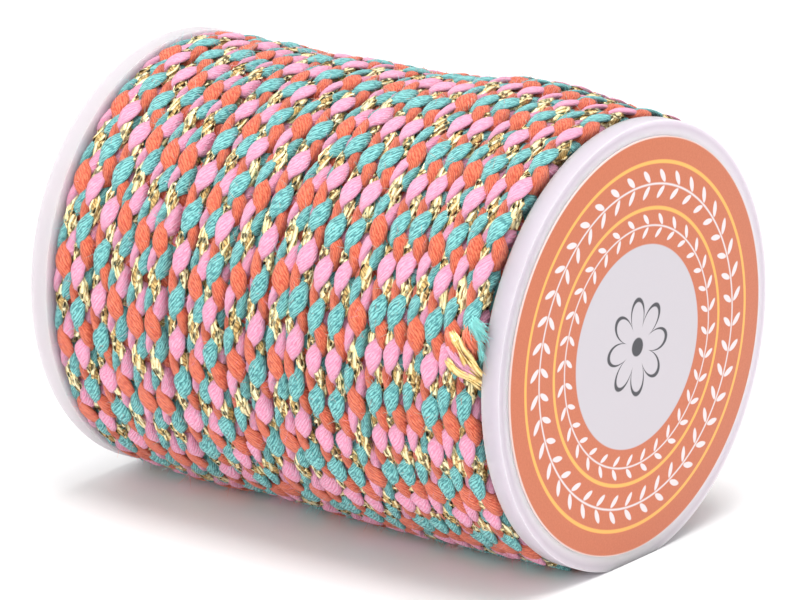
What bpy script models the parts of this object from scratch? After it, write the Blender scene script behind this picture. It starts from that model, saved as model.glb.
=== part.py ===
"""A small plastic spool of braided cord, lying on its side.

The frame is in metres with +Z up. The spool's axis runs along X, and the labelled flange faces +X.
The origin is at the middle of the flat spots that the two flanges rest on.
"""

import math

import bmesh
import bpy

MM = 0.001

# The moulded spool
FLANGE_RADIUS = 13.65 * MM
FLANGE_THICKNESS = 1.5 * MM
SPOOL_LENGTH = 35.8 * MM
BARREL_RADIUS = 10.4 * MM
OUTER_ROUNDING = 0.55 * MM
INNER_ROUNDING = 0.3 * MM
FLAT_SPOT_WIDTH = 4.6 * MM
AROUND_SPOOL = 72

# The paper label on the front flange
LABEL_RADIUS = 12.7 * MM
LABEL_THICKNESS = 0.2 * MM
AROUND_LABEL = 72

# The cord and the way it is wound
CORD_DIAMETER = 1.5 * MM
TURNS_ACROSS = 22
FIRST_TURN_INSET = 0.8 * MM
LAST_TURN_INSET = 1.15 * MM
WOUND_RADIUS_FRONT = 13.9 * MM
WOUND_RADIUS_BACK = 13.15 * MM
WOUND_CROWN = 0.45 * MM
GROOVE_DEPTH = 0.42 * MM
STATIONS_PER_TURN = 3
AROUND_WINDING = 40

# The free end, which lies in the wedge between the last turn and the front flange
TAIL_START_DEG = 195.0
TAIL_END_DEG = 12.0
TAIL_INSET = 1.0 * MM
TAIL_LIFT = 0.55 * MM
TAIL_END_DIP = 0.3 * MM
TAIL_DIAMETER = 1.4 * MM
TAIL_POINTS = 25

GAP = 0.3 * MM

# Worked out from the sizes above
FLAT_DROP = FLANGE_RADIUS - math.sqrt(FLANGE_RADIUS**2 - (FLAT_SPOT_WIDTH / 2) ** 2)
AXIS_HEIGHT = FLANGE_RADIUS - FLAT_DROP
OVERALL_LENGTH = SPOOL_LENGTH + GAP + LABEL_THICKNESS
BACK_FACE_X = -OVERALL_LENGTH / 2
FRONT_FACE_X = BACK_FACE_X + SPOOL_LENGTH
INNER_BACK_X = BACK_FACE_X + FLANGE_THICKNESS
INNER_FRONT_X = FRONT_FACE_X - FLANGE_THICKNESS
TURN_PITCH = (INNER_FRONT_X - INNER_BACK_X - FIRST_TURN_INSET - LAST_TURN_INSET) / (TURNS_ACROSS - 1)


def clear_scene():
    for obj in list(bpy.data.objects):
        bpy.data.objects.remove(obj, do_unlink=True)


def finish_of(name, colour, roughness, metallic=0.0):
    """A plain Principled material."""
    material = bpy.data.materials.new(name)
    material.use_nodes = True
    shader = material.node_tree.nodes["Principled BSDF"]
    shader.inputs["Base Color"].default_value = (*colour, 1.0)
    shader.inputs["Roughness"].default_value = roughness
    shader.inputs["Metallic"].default_value = metallic
    material.diffuse_color = (*colour, 1.0)
    return material


def add_mesh_object(name, shape, material, sharp_degrees=35.0):
    """Turn a bmesh into a named object, with its faces out and its round sides smooth."""
    bmesh.ops.recalc_face_normals(shape, faces=shape.faces)
    mesh = bpy.data.meshes.new(name)
    shape.to_mesh(mesh)
    shape.free()
    mesh.shade_smooth()
    mesh.set_sharp_from_angle(angle=math.radians(sharp_degrees))
    mesh.materials.append(material)
    obj = bpy.data.objects.new(name, mesh)
    bpy.context.collection.objects.link(obj)
    return obj


def on_winding(x, radius, degrees):
    """A point round the spool's axis: 0 degrees is towards -Y, and 90 degrees is the top."""
    angle = math.radians(degrees)
    return (x, -radius * math.cos(angle), AXIS_HEIGHT + radius * math.sin(angle))


def rounded_corner(centre_x, centre_radius, rounding, start_degrees, end_degrees, steps=4):
    """Points of a quarter circle in the (x, radius) profile, both ends included."""
    points = []
    for step in range(steps + 1):
        angle = math.radians(start_degrees + (end_degrees - start_degrees) * step / steps)
        points.append((centre_x + rounding * math.cos(angle), centre_radius + rounding * math.sin(angle)))
    return points


def turned_shape(profile, segments):
    """Spin an (x, radius) profile round the spool's axis into a closed shape."""
    shape = bmesh.new()
    corners = [shape.verts.new((x, 0.0, AXIS_HEIGHT + radius)) for x, radius in profile]
    edges = [shape.edges.new(pair) for pair in zip(corners, corners[1:])]
    bmesh.ops.spin(
        shape,
        geom=corners + edges,
        cent=(0.0, 0.0, AXIS_HEIGHT),
        axis=(1.0, 0.0, 0.0),
        angle=math.tau,
        steps=segments,
    )
    bmesh.ops.remove_doubles(shape, verts=shape.verts, dist=1e-7)
    return shape


def make_spool():
    """Two flanges with rounded rims on one barrel, with the small flats that it rests on."""
    rim = FLANGE_RADIUS
    profile = [(BACK_FACE_X, 0.0)]
    profile += rounded_corner(BACK_FACE_X + OUTER_ROUNDING, rim - OUTER_ROUNDING, OUTER_ROUNDING, 180, 90)
    profile += rounded_corner(INNER_BACK_X - INNER_ROUNDING, rim - INNER_ROUNDING, INNER_ROUNDING, 90, 0, 3)
    profile += [(INNER_BACK_X, BARREL_RADIUS), (INNER_FRONT_X, BARREL_RADIUS)]
    profile += rounded_corner(INNER_FRONT_X + INNER_ROUNDING, rim - INNER_ROUNDING, INNER_ROUNDING, 180, 90, 3)
    profile += rounded_corner(FRONT_FACE_X - OUTER_ROUNDING, rim - OUTER_ROUNDING, OUTER_ROUNDING, 90, 0)
    profile += [(FRONT_FACE_X, 0.0)]
    shape = turned_shape(profile, AROUND_SPOOL)
    for vertex in shape.verts:
        vertex.co.z = max(vertex.co.z, 0.0)
    plastic = finish_of("milky_plastic", (0.86, 0.84, 0.88), 0.32)
    return add_mesh_object("spool", shape, plastic)


def make_label():
    """The round paper label, held just clear of the flange's face."""
    near = FRONT_FACE_X + GAP
    far = near + LABEL_THICKNESS
    profile = [(near, 0.0), (near, LABEL_RADIUS), (far, LABEL_RADIUS), (far, 0.0)]
    paper = finish_of("printed_paper", (0.80, 0.27, 0.16), 0.55)
    return add_mesh_object("label", turned_shape(profile, AROUND_LABEL), paper)


def wound_radius(x, degrees):
    """The radius over the crests of the turns: crowned, fuller at the front, pressed flat below."""
    back_share = (INNER_FRONT_X - x) / (INNER_FRONT_X - INNER_BACK_X)
    radius = WOUND_RADIUS_FRONT * (1 - back_share) + WOUND_RADIUS_BACK * back_share
    radius += WOUND_CROWN * 4 * back_share * (1 - back_share)
    downward = -math.sin(math.radians(degrees))
    if downward > 0:
        radius = min(radius, (AXIS_HEIGHT - GAP / 2) / downward)
    return radius


def tail_share(degrees):
    """0 where the free end leaves the winding, and 1 at its tip."""
    return (TAIL_START_DEG - degrees) / (TAIL_START_DEG - TAIL_END_DEG)


def tail_centre(degrees):
    """(x, radius) of the free end's middle line: it climbs out of the layer, then dips at its tip."""
    share = tail_share(degrees)
    x = INNER_FRONT_X - TAIL_INSET
    lift = TAIL_LIFT * math.sin(min(share / 0.6, 1.0) * math.pi / 2)
    dip = TAIL_END_DIP * max(0.0, (share - 0.85) / 0.15)
    return x, WOUND_RADIUS_FRONT - CORD_DIAMETER / 2 + lift - dip


def clear_of_tail(x, degrees, radius):
    """Lower a point of the winding, where it would come within a gap of the free end."""
    margin = 8.0
    if not TAIL_END_DEG - margin < degrees % 360 < TAIL_START_DEG + margin:
        return radius
    tail_x, tail_radius = tail_centre(min(max(degrees % 360, TAIL_END_DEG), TAIL_START_DEG))
    reach = TAIL_DIAMETER / 2 + GAP
    across = min(abs(x - tail_x), reach) if x < tail_x else 0.0
    if across >= reach:
        return radius
    return min(radius, tail_radius - math.sqrt(reach**2 - across**2))


def make_winding():
    """The wound cord as one solid: a ridge for each turn of the top layer, round a bore for the barrel."""
    shape = bmesh.new()
    low_x = INNER_BACK_X + GAP
    high_x = INNER_FRONT_X - GAP
    bore = BARREL_RADIUS + GAP
    stations = STATIONS_PER_TURN * (TURNS_ACROSS + 3)
    fade = TURN_PITCH / 2
    rings = []
    bores = []
    for step in range(AROUND_WINDING + 1):
        degrees = 360.0 * step / AROUND_WINDING
        ring = []
        for station in range(stations + 1):
            turn = station / STATIONS_PER_TURN - 1.0 - step / AROUND_WINDING
            middle = INNER_BACK_X + FIRST_TURN_INSET + TURN_PITCH * (turn + 1 / 6)
            x = min(max(middle, low_x), high_x)
            radius = wound_radius(x, degrees)
            if station % STATIONS_PER_TURN == 1:
                edge_fade = min(1.0, (x - low_x) / fade, (high_x - x) / fade)
                radius -= GROOVE_DEPTH * edge_fade
            radius = clear_of_tail(x, degrees, radius)
            ring.append(shape.verts.new(on_winding(x, radius, degrees)))
        rings.append(ring)
        bores.append([shape.verts.new(on_winding(x, bore, degrees)) for x in (low_x, high_x)])
    for ring, after, bore_ends, bore_after in zip(rings, rings[1:], bores, bores[1:]):
        for left in range(stations):
            shape.faces.new((ring[left], ring[left + 1], after[left + 1], after[left]))
        shape.faces.new((ring[-1], bore_ends[1], bore_after[1], after[-1]))
        shape.faces.new((bore_ends[1], bore_ends[0], bore_after[0], bore_after[1]))
        shape.faces.new((bore_ends[0], ring[0], after[0], bore_after[0]))
    bmesh.ops.remove_doubles(shape, verts=shape.verts, dist=2e-6)
    bmesh.ops.dissolve_degenerate(shape, edges=shape.edges, dist=1e-6)
    cord = finish_of("braided_cord", (0.80, 0.38, 0.36), 0.8)
    return add_mesh_object("winding", shape, cord, 60.0)


def make_cord_end():
    """The last stretch of the cord, a free end that isn't sewn or glued to anything."""
    curve = bpy.data.curves.new("cord_end", "CURVE")
    curve.dimensions = "3D"
    curve.bevel_depth = TAIL_DIAMETER / 2
    curve.bevel_resolution = 2
    curve.use_fill_caps = True
    line = curve.splines.new("POLY")
    line.points.add(TAIL_POINTS - 1)
    for index, point in enumerate(line.points):
        degrees = TAIL_START_DEG + (TAIL_END_DEG - TAIL_START_DEG) * index / (TAIL_POINTS - 1)
        x, radius = tail_centre(degrees)
        point.co = (*on_winding(x, radius, degrees), 1.0)
    curve.materials.append(finish_of("braided_cord_end", (0.30, 0.68, 0.64), 0.8))
    obj = bpy.data.objects.new("cord_end", curve)
    bpy.context.collection.objects.link(obj)
    return obj


clear_scene()
make_spool()
make_label()
make_winding()
make_cord_end()
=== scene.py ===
# %% [markdown]
# # A spool of braided cotton cord
# This lesson dresses a small plastic spool of craft cord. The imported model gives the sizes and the
# places: two flanges on a barrel, a round label, the wound cord and its free end. Each step below
# makes one real thing, says how it is made in life, and why it is modelled the way it is.

# %% Load the frame and keep its box
import math

import bmesh
import bpy
import numpy as np
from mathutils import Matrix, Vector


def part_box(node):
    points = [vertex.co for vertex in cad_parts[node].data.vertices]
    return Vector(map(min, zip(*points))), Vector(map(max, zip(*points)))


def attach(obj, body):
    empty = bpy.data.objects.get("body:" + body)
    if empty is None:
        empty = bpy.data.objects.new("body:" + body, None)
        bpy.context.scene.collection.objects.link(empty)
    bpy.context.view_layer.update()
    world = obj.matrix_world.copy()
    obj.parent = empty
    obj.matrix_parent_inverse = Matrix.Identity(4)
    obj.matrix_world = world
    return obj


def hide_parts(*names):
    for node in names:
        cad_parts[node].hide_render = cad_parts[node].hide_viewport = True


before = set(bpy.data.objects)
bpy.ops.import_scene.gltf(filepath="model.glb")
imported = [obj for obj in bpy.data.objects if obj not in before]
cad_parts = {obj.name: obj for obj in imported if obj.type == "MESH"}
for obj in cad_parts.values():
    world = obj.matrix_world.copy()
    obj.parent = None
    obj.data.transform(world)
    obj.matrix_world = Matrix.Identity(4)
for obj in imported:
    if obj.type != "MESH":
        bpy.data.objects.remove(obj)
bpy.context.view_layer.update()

MM = 0.001

# %% [markdown]
# ## Sizes
# The spool lies on its side with its axis along X, and the labelled flange faces +X. Whatever the
# frame can say, it says: the flange's radius, the axis height and the ends. Only the sizes that are
# hidden inside a node, such as the flange's thickness, are written down here again.

# %% Sizes from the frame
spool_low, spool_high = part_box("spool")
_, label_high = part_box("label")
FLANGE_RADIUS = spool_high.y
AXIS_HEIGHT = spool_high.z - FLANGE_RADIUS
LABEL_RADIUS = label_high.y
FLANGE_THICKNESS = 1.5 * MM
BARREL_RADIUS = 10.4 * MM
INNER_BACK_X = spool_low.x + FLANGE_THICKNESS
FRONT_FLANGE_THICKNESS = 1.25 * MM
INNER_FRONT_X = spool_high.x - FRONT_FLANGE_THICKNESS
print("flange radius", round(FLANGE_RADIUS, 5), "axis height", round(AXIS_HEIGHT, 5))

# %% Sizes of the cord and its winding
CORD_DIAMETER = 1.5 * MM
# How near the floor the crests of the turns come, and below which height no point of a strand goes.
CREST_CLEARANCE = 0.1 * MM
LOWEST = 0.02 * MM
TURNS_ACROSS = 22
FIRST_TURN_INSET = 0.8 * MM
LAST_TURN_INSET = 1.15 * MM
NEAREST_TO_FLANGE = 0.78 * MM
WOUND_RADIUS_FRONT = 13.9 * MM
WOUND_RADIUS_BACK = 13.15 * MM
WOUND_CROWN = 0.45 * MM
LAYER_DEPTH = 1.28 * MM
# The turns aren't laid quite evenly: how far (in mm) each turn lies forward of an even lay.
LAY_DRIFT = (
    -0.2, -0.1, 0.05, 0.05, 0.1, 0.1, 0.4, 0.5, 0.3, 0.45, 0.65,
    0.85, 0.7, 0.9, 0.9, 0.8, 0.85, 0.7, 0.6, 0.45, 0.2, -0.1,
)
# Nor were they wound quite evenly: how far (in mm) each stands above an even crown along the top.
TOP_BULGE = (
    0.4, 0.4, 0.2, 0.2, 0.0, -0.2, -0.1, -0.1, -0.1, -0.2, -0.2, -0.25,
    -0.1, 0.0, 0.2, 0.4, 0.5, 0.5, 0.3, 0.2, 0.0, -0.3, -0.45,
)
TOP_BULGE_DEG = 105.0
# Low down, only the turns near the back flange stand out, up to these two turn counts.
LOW_BULGE = 0.45 * MM
LOW_BULGE_DEG = -65.0
LOW_BULGE_TURNS = (3.5, 7.0)
TURN_PITCH = (INNER_FRONT_X - INNER_BACK_X - FIRST_TURN_INSET - LAST_TURN_INSET) / (TURNS_ACROSS - 1)
FIRST_TURN = -0.62
WANDER = 0.06 * MM
# The turn beside the free end is pushed down and aside by it, from one turn count to another.
PUSHED_DOWN = 0.35 * MM
PUSHED_ASIDE = 0.12 * MM
PUSHED_FROM = (TURNS_ACROSS - 1.6, TURNS_ACROSS - 1.4)
PUSHED_UNTIL = (TURNS_ACROSS - 1.05, TURNS_ACROSS - 0.95)
TAIL_START_DEG = 195.0
TAIL_END_DEG = 12.0
TAIL_INSET = 1.0 * MM
TAIL_LIFT = 0.55 * MM
TAIL_END_DIP = 0.3 * MM
LAST_TURN = TURNS_ACROSS - TAIL_START_DEG / 360.0
TIP_TURN = TURNS_ACROSS - TAIL_END_DEG / 360.0
print("turn pitch", round(TURN_PITCH / MM, 3), "mm")

# %% [markdown]
# ## Camera, light and floor
# The camera comes before the cord, because the frame measures a free cord against its view. A long
# lens, a little above the spool and on the label's side, flattens the perspective, as for a product
# shot. The light is a pale room with a large soft panel overhead and a weaker one in front.

# %% Camera
CAMERA_AZIMUTH = math.radians(37.5)
CAMERA_ELEVATION = math.radians(17.2)
CAMERA_DISTANCE = 0.3853
CAMERA_TARGET = (0.0061, -0.00794, 0.01613)
towards_camera = (
    math.sin(CAMERA_AZIMUTH) * math.cos(CAMERA_ELEVATION),
    -math.cos(CAMERA_AZIMUTH) * math.cos(CAMERA_ELEVATION),
    math.sin(CAMERA_ELEVATION),
)
camera_data = bpy.data.cameras.new("camera")
camera_data.lens = 292.5
camera_data.sensor_width = 36.0
camera_data.clip_start = 0.01
camera = bpy.data.objects.new("camera", camera_data)
camera.location = [t + CAMERA_DISTANCE * d for t, d in zip(CAMERA_TARGET, towards_camera)]
camera.rotation_euler = (math.pi / 2 - CAMERA_ELEVATION, 0.0, CAMERA_AZIMUTH)
bpy.context.collection.objects.link(camera)
bpy.context.scene.camera = camera
print("camera at", [round(c, 4) for c in camera.location])


# %% Lights
def add_soft_panel(name, place, aim, side, watts):
    """A square area light at a place, turned towards a point."""
    data = bpy.data.lights.new(name, "AREA")
    data.shape = "SQUARE"
    data.size = side
    data.energy = watts
    panel = bpy.data.objects.new(name, data)
    panel.location = place
    direction = [a - p for a, p in zip(aim, place)]
    panel.rotation_euler = Vector(direction).to_track_quat("-Z", "Y").to_euler()
    bpy.context.collection.objects.link(panel)


PANEL_SIDE = 0.26
spool_middle = (0.0, 0.0, AXIS_HEIGHT)
add_soft_panel("key_panel", (0.06, -0.02, 0.42), spool_middle, PANEL_SIDE, watts=1.58)
add_soft_panel("fill_panel", (-0.06, -0.42, 0.18), spool_middle, PANEL_SIDE, watts=0.66)
world = bpy.data.worlds.new("pale_room")
world.use_nodes = True
room = world.node_tree.nodes["Background"]
room.inputs["Color"].default_value = (1.0, 1.0, 1.0, 1.0)
room.inputs["Strength"].default_value = 0.80
bpy.context.scene.world = world
bpy.context.scene.view_settings.view_transform = "Standard"


# %% Helpers for materials
def new_material(name, **constants):
    """A node material, its tree and its Principled shader, with constants such as Sheen_Weight."""
    material = bpy.data.materials.new(name)
    material.use_nodes = True
    shader = material.node_tree.nodes["Principled BSDF"]
    for key, value in constants.items():
        shader.inputs[key.replace("_", " ")].default_value = value
    return material, material.node_tree, shader


def node(tree, kind, settings=None, **inputs):
    """Add a node; settings are its properties, inputs are values or sockets to link from.

    An input is given by its name, with _ for a space, or as i0, i1 and so on by its place.
    """
    made = tree.nodes.new(kind)
    for key, value in (settings or {}).items():
        setattr(made, key, value)
    for key, value in inputs.items():
        by_place = key[0] == "i" and key[1:].isdigit()
        socket = made.inputs[int(key[1:]) if by_place else key.replace("_", " ")]
        if isinstance(value, bpy.types.NodeSocket):
            tree.links.new(value, socket)
        else:
            socket.default_value = value
    return made


def math_node(tree, operation, first, second=0.0, third=None):
    inputs = {"i0": first, "i1": second}
    if third is not None:
        inputs["i2"] = third
    return node(tree, "ShaderNodeMath", {"operation": operation}, **inputs).outputs[0]


def times(tree, first, second):
    return math_node(tree, "MULTIPLY", first, second)


# %% Helpers for values and colours
def map_range(tree, value, low, high, to_low=0.0, to_high=1.0):
    """A value carried from low..high to to_low..to_high, and held at both ends."""
    made = node(tree, "ShaderNodeMapRange", None, Value=value, From_Min=low, From_Max=high,
                To_Min=to_low, To_Max=to_high)
    return made.outputs[0]


def solid_noise(tree, scale, detail, roughness=0.5):
    """Noise through the whole of a piece, from its Object coordinates."""
    noise = node(tree, "ShaderNodeTexNoise", None, Scale=scale, Detail=detail, Roughness=roughness)
    tree.links.new(node(tree, "ShaderNodeTexCoord").outputs["Object"], noise.inputs["Vector"])
    return noise.outputs["Fac"]


def flat_noise(tree, place, **looks):
    """Noise over a flat place, such as a strand's UV map."""
    noise = node(tree, "ShaderNodeTexNoise", {"noise_dimensions": "2D"}, Vector=place, **looks)
    return noise.outputs["Fac"]


def mixed(tree, share, first, second):
    """The colour between two colours, each a socket or a plain red, green and blue."""
    ends = [(*end, 1.0) if isinstance(end, tuple) else end for end in (first, second)]
    made = node(tree, "ShaderNodeMix", {"data_type": "RGBA"}, Factor=share, A=ends[0], B=ends[1])
    return made.outputs["Result"]


def colour_ramp(tree, value, stops, interpolation="LINEAR"):
    """A colour for each value, from stops of (place, colour)."""
    made = node(tree, "ShaderNodeValToRGB", None, Fac=value)
    ramp = made.color_ramp
    ramp.interpolation = interpolation
    for element, (position, colour) in zip(ramp.elements, (stops[0], stops[-1])):
        element.position = position
        element.color = (*colour, 1.0)
    for position, colour in stops[1:-1]:
        ramp.elements.new(position).color = (*colour, 1.0)
    return made.outputs["Color"]


def add_bump(tree, shader, height, strength, distance):
    """Let a height that changes over the surface tilt its normals."""
    bump = node(tree, "ShaderNodeBump", None, Height=height, Strength=strength, Distance=distance)
    tree.links.new(bump.outputs["Normal"], shader.inputs["Normal"])


# %% Floor
bpy.ops.object.select_all(action="DESELECT")
bpy.ops.mesh.primitive_plane_add(size=6.0, location=(0.0, 0.0, 0.0))
floor = bpy.context.object
floor.name = "floor"
floor_material, _, _ = new_material("pale_floor", Base_Color=(0.93, 0.93, 0.93, 1.0), Roughness=0.6)
floor.data.materials.append(floor_material)


# %% [markdown]
# ## The route of the cord
# A machine lays the cord in turns side by side, and each turn climbs one cord's width along the
# axis. The route is one function of the turn count, so that every strand can ask where the cord is.

# %% Where the cord runs
def smooth_step(low, high, value):
    share = np.clip((value - low) / (high - low), 0.0, 1.0)
    return share * share * (3.0 - 2.0 * share)


def bulge(turn, angle):
    """How far the winding stands out from its even crown: along the top, and low down at the back."""
    above = np.maximum(np.cos(angle - math.radians(TOP_BULGE_DEG)), 0.0) ** 3
    below = np.maximum(np.cos(angle - math.radians(LOW_BULGE_DEG)), 0.0) ** 3
    top = np.interp(turn + 0.3, np.arange(len(TOP_BULGE)), TOP_BULGE) * MM
    low = LOW_BULGE * (1.0 - smooth_step(*LOW_BULGE_TURNS, turn))
    return top * above + low * below


def wound_radius(x, angle, bulging):
    """Radius over the crests of the turns: crowned, fuller at the front, pressed flat below."""
    back_share = (INNER_FRONT_X - x) / (INNER_FRONT_X - INNER_BACK_X)
    radius = WOUND_RADIUS_FRONT * (1 - back_share) + WOUND_RADIUS_BACK * back_share
    radius = radius + WOUND_CROWN * 4 * back_share * (1 - back_share) + bulging
    downward = np.maximum(-np.sin(angle), 1e-3)
    return np.minimum(radius, (AXIS_HEIGHT - CREST_CLEARANCE) / downward)


def cord_route(turn):
    """Centre points of the cord, and the way out from the axis, at these turn counts."""
    angle = -math.tau * turn
    x = INNER_BACK_X + FIRST_TURN_INSET + TURN_PITCH * turn
    x = x + np.interp(turn, np.arange(TURNS_ACROSS), LAY_DRIFT) * MM
    x = x + WANDER * np.sin(1.7 * turn + 0.8) * np.sin(0.31 * turn * math.tau + 1.0)
    x = np.clip(x, INNER_BACK_X + NEAREST_TO_FLANGE, INNER_FRONT_X - NEAREST_TO_FLANGE)
    radius = wound_radius(x, angle, bulge(turn, angle)) - CORD_DIAMETER / 2
    radius = radius - LAYER_DEPTH * (1 - smooth_step(FIRST_TURN, FIRST_TURN + 0.2, turn))
    pushed = smooth_step(*PUSHED_FROM, turn) * (1 - smooth_step(*PUSHED_UNTIL, turn))
    radius = radius - PUSHED_DOWN * pushed
    x = x - PUSHED_ASIDE * pushed
    share = np.clip((turn - LAST_TURN) / (TIP_TURN - LAST_TURN), 0.0, 1.0)
    on_tail = smooth_step(LAST_TURN - 0.05, LAST_TURN + 0.03, turn)
    x = x * (1 - on_tail) + (INNER_FRONT_X - TAIL_INSET) * on_tail
    lift = TAIL_LIFT * np.sin(np.minimum(share / 0.6, 1.0) * math.pi / 2)
    radius = radius + lift - TAIL_END_DIP * np.maximum(0.0, (share - 0.85) / 0.15)
    outward = np.stack([np.zeros_like(turn), -np.cos(angle), np.sin(angle)], axis=1)
    centre = outward * radius[:, None]
    centre[:, 0] = x
    centre[:, 2] += AXIS_HEIGHT
    return centre, outward


def unit(vectors):
    return vectors / np.linalg.norm(vectors, axis=1, keepdims=True)


def square_to(tangent, vectors):
    """Unit vectors at right angles to the tangent, nearest to the ones given."""
    return unit(vectors - tangent * np.sum(vectors * tangent, axis=1, keepdims=True))


# %% [markdown]
# ## The braid
# Four strands make the cord. Two of them spiral one way and two the other, and each passes over and
# under the next. Seen from one side that gives a column of lobes in two colours, and from a quarter
# turn round a column in the other two. The cord rolls a little as it is wound, so that some turns
# show teal and pink, and some show coral and gold. The roll of each turn is in the table below.

# %% The braid's sizes and the roll of each turn
BRAID_PERIOD = 5.03 * MM
OVER_RADIUS = 0.41 * MM
UNDER_RADIUS = 0.14 * MM
FULLNESS = 0.6
POINTEDNESS = 2.0
DWELL = 0.26
ROUNDNESS = 0.92
FLATTENING = 0.42
PRESSED_BETWEEN = (0.74 * MM, -0.30 * MM)
FOIL_REACH = 0.84
UNEVENNESS = 0.07
LOOSER_BELOW = 0.16
LOOSER_BETWEEN = (0.2, 0.7)
FOIL_SPIN, FOIL_START = 1, math.pi
FACING_DEG = 10.0
# Where each turn faces the front, from the back flange to the front one: the roll in degrees, and
# how far the braid's pattern has run from the middle of a teal lobe, as a share of one period.
ROLL_OF_TURN = (
    90, -20, 0, 80, 90, 90, 15, 70, -15, -60, 35, 90,
    30, -5, -10, -70, -10, -10, -60, -5, -50, -20, 0,
)
SHARE_OF_TURN = (
    0.75, 0.4, 0.15, 0.4, 0.25, 0.25, 0.85, 0.85, 0.3, 0.5, 0.25,
    0.15, 0.2, 0.05, 0.05, 0.4, 0.25, 0.3, 0.35, 0.25, 0.4, 0.4, 0.45,
)
FACING_TURNS = np.arange(len(ROLL_OF_TURN)) - FACING_DEG / 360.0


def braid_phase(turn):
    """The braid's phase in periods: it keeps its own length, and passes each turn's share in time."""
    knots = FACING_TURNS
    centre, _ = cord_route(knots)
    radius = np.hypot(centre[:, 1], centre[:, 2] - AXIS_HEIGHT)
    rate = math.tau * radius / BRAID_PERIOD
    at_knot = [SHARE_OF_TURN[0]]
    for number in range(1, len(knots)):
        wanted = (rate[number] + rate[number - 1]) / 2
        change = SHARE_OF_TURN[number] - SHARE_OF_TURN[number - 1]
        at_knot.append(at_knot[-1] + change + round(wanted - change))
    at_knot = np.array(at_knot)
    number = np.clip(np.floor(turn - knots[0]).astype(int), 0, len(knots) - 2)
    share = turn - knots[number]
    inside = np.clip(share, 0.0, 1.0)
    square, cube = inside**2, inside**3
    phase = at_knot[number] * (2 * cube - 3 * square + 1) + at_knot[number + 1] * (3 * square - 2 * cube)
    phase = phase + rate[number] * (cube - 2 * square + inside) + rate[number + 1] * (cube - square)
    return phase + (share - inside) * rate[number]


# %% Samples along the cord
ROUTE_STEPS = 6000


def braid_samples(first_turn, last_turn, steps_per_period):
    """Points along the cord: their turn count, length so far, the braid's phase and the cord's roll."""
    coarse = np.linspace(FIRST_TURN, TIP_TURN, ROUTE_STEPS)
    centre, _ = cord_route(coarse)
    length = np.concatenate([[0.0], np.cumsum(np.linalg.norm(np.diff(centre, axis=0), axis=1))])
    ends = np.interp([first_turn, last_turn], coarse, length)
    count = int(round((ends[1] - ends[0]) / BRAID_PERIOD * steps_per_period)) + 1
    along = np.linspace(ends[0], ends[1], count)
    turn = np.interp(along, length, coarse)
    roll = np.radians(np.interp(turn, FACING_TURNS, ROLL_OF_TURN))
    return turn, along, math.tau * braid_phase(turn), roll


# %% Where a strand runs
def strand_centres(turn, phase, roll, spin, start):
    """Centre points of one strand, the way out from the cord's own middle, and how far over it lies."""
    centre, outward = cord_route(turn)
    tangent = unit(np.gradient(centre, axis=0))
    outward = square_to(tangent, outward)
    across = np.cross(outward, tangent)
    angle = spin * phase + start
    over = np.abs(np.cos(angle) if spin < 0 else np.sin(angle)) ** FULLNESS
    angle = angle - DWELL * np.sin(2 * angle) * (1 if spin < 0 else -1)
    lean = angle + roll
    side = outward * np.cos(lean)[:, None] + across * np.sin(lean)[:, None]
    offset = UNDER_RADIUS + (OVER_RADIUS - UNDER_RADIUS) * over
    if (spin, start) == (FOIL_SPIN, FOIL_START):
        offset = offset * FOIL_REACH
    return centre + side * offset[:, None], side, over


def strand_frame(*strand):
    """A strand's centre points, how far over it lies, and the ways along it, out of it and across."""
    centre, side, over = strand_centres(*strand)
    tangent = unit(np.gradient(centre, axis=0))
    up = square_to(tangent, side)
    return centre, over, tangent, up, np.cross(tangent, up)


# %% Sweeping a section along a strand
def tubes_mesh(name, rings):
    """Closed tubes in one mesh, from an array of rings: tube by tube, ring by ring, point by point."""
    number, steps, sides, _ = rings.shape
    corner = np.arange(sides)[None, :]
    ring_number = np.arange(number)[:, None] * steps + np.arange(steps - 1)[None, :]
    ring_start = ring_number.reshape(-1, 1) * sides
    left, right = ring_start + corner, ring_start + (corner + 1) % sides
    quads = np.stack([left, right, right + sides, left + sides], axis=2).reshape(-1, 4)
    first_ring = np.arange(number)[:, None] * steps * sides
    caps = np.concatenate([first_ring + corner[:, ::-1], first_ring + (steps - 1) * sides + corner])
    corners = np.concatenate([quads.ravel(), caps.ravel()])
    starts = np.concatenate([np.arange(len(quads)) * 4, quads.size + np.arange(len(caps)) * sides])
    mesh = bpy.data.meshes.new(name)
    mesh.vertices.add(number * steps * sides)
    mesh.vertices.foreach_set("co", rings.astype(np.float32).ravel())
    mesh.loops.add(len(corners))
    mesh.loops.foreach_set("vertex_index", corners.astype(np.int32))
    mesh.polygons.add(len(starts))
    mesh.polygons.foreach_set("loop_start", starts.astype(np.int32))
    return mesh


def tube_mesh(name, rings, along_uv, over=1.0):
    """A closed tube from rings of points, with a UV map: round the tube and along it.

    Its points also carry how far the strand lies over the others, which the yarn's painted shade in the
    crevices uses.
    """
    count, sides, _ = rings.shape
    mesh = tubes_mesh(name, rings[None])
    u_low = np.tile(np.arange(sides) / sides, count - 1)
    u_high = u_low + 1.0 / sides
    v_low = np.repeat(along_uv[:-1], sides)
    v_high = np.repeat(along_uv[1:], sides)
    pairs = np.stack([u_low, v_low, u_high, v_low, u_high, v_high, u_low, v_high], axis=1)
    uv = np.concatenate([pairs.ravel(), np.zeros(4 * sides)])
    layer = mesh.uv_layers.new(name="strand")
    layer.data.foreach_set("uv", uv.astype(np.float32))
    lies_over = mesh.attributes.new("lies_over", "FLOAT", "POINT")
    lies_over.data.foreach_set("value", np.repeat(np.broadcast_to(over, count), sides).astype(np.float32))
    mesh.update(calc_edges=True)
    mesh.validate()
    return mesh


def piece_from_mesh(name, mesh, material):
    obj = bpy.data.objects.new(name, mesh)
    bpy.context.collection.objects.link(obj)
    mesh.materials.append(material)
    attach(obj, "root")
    return obj


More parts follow.
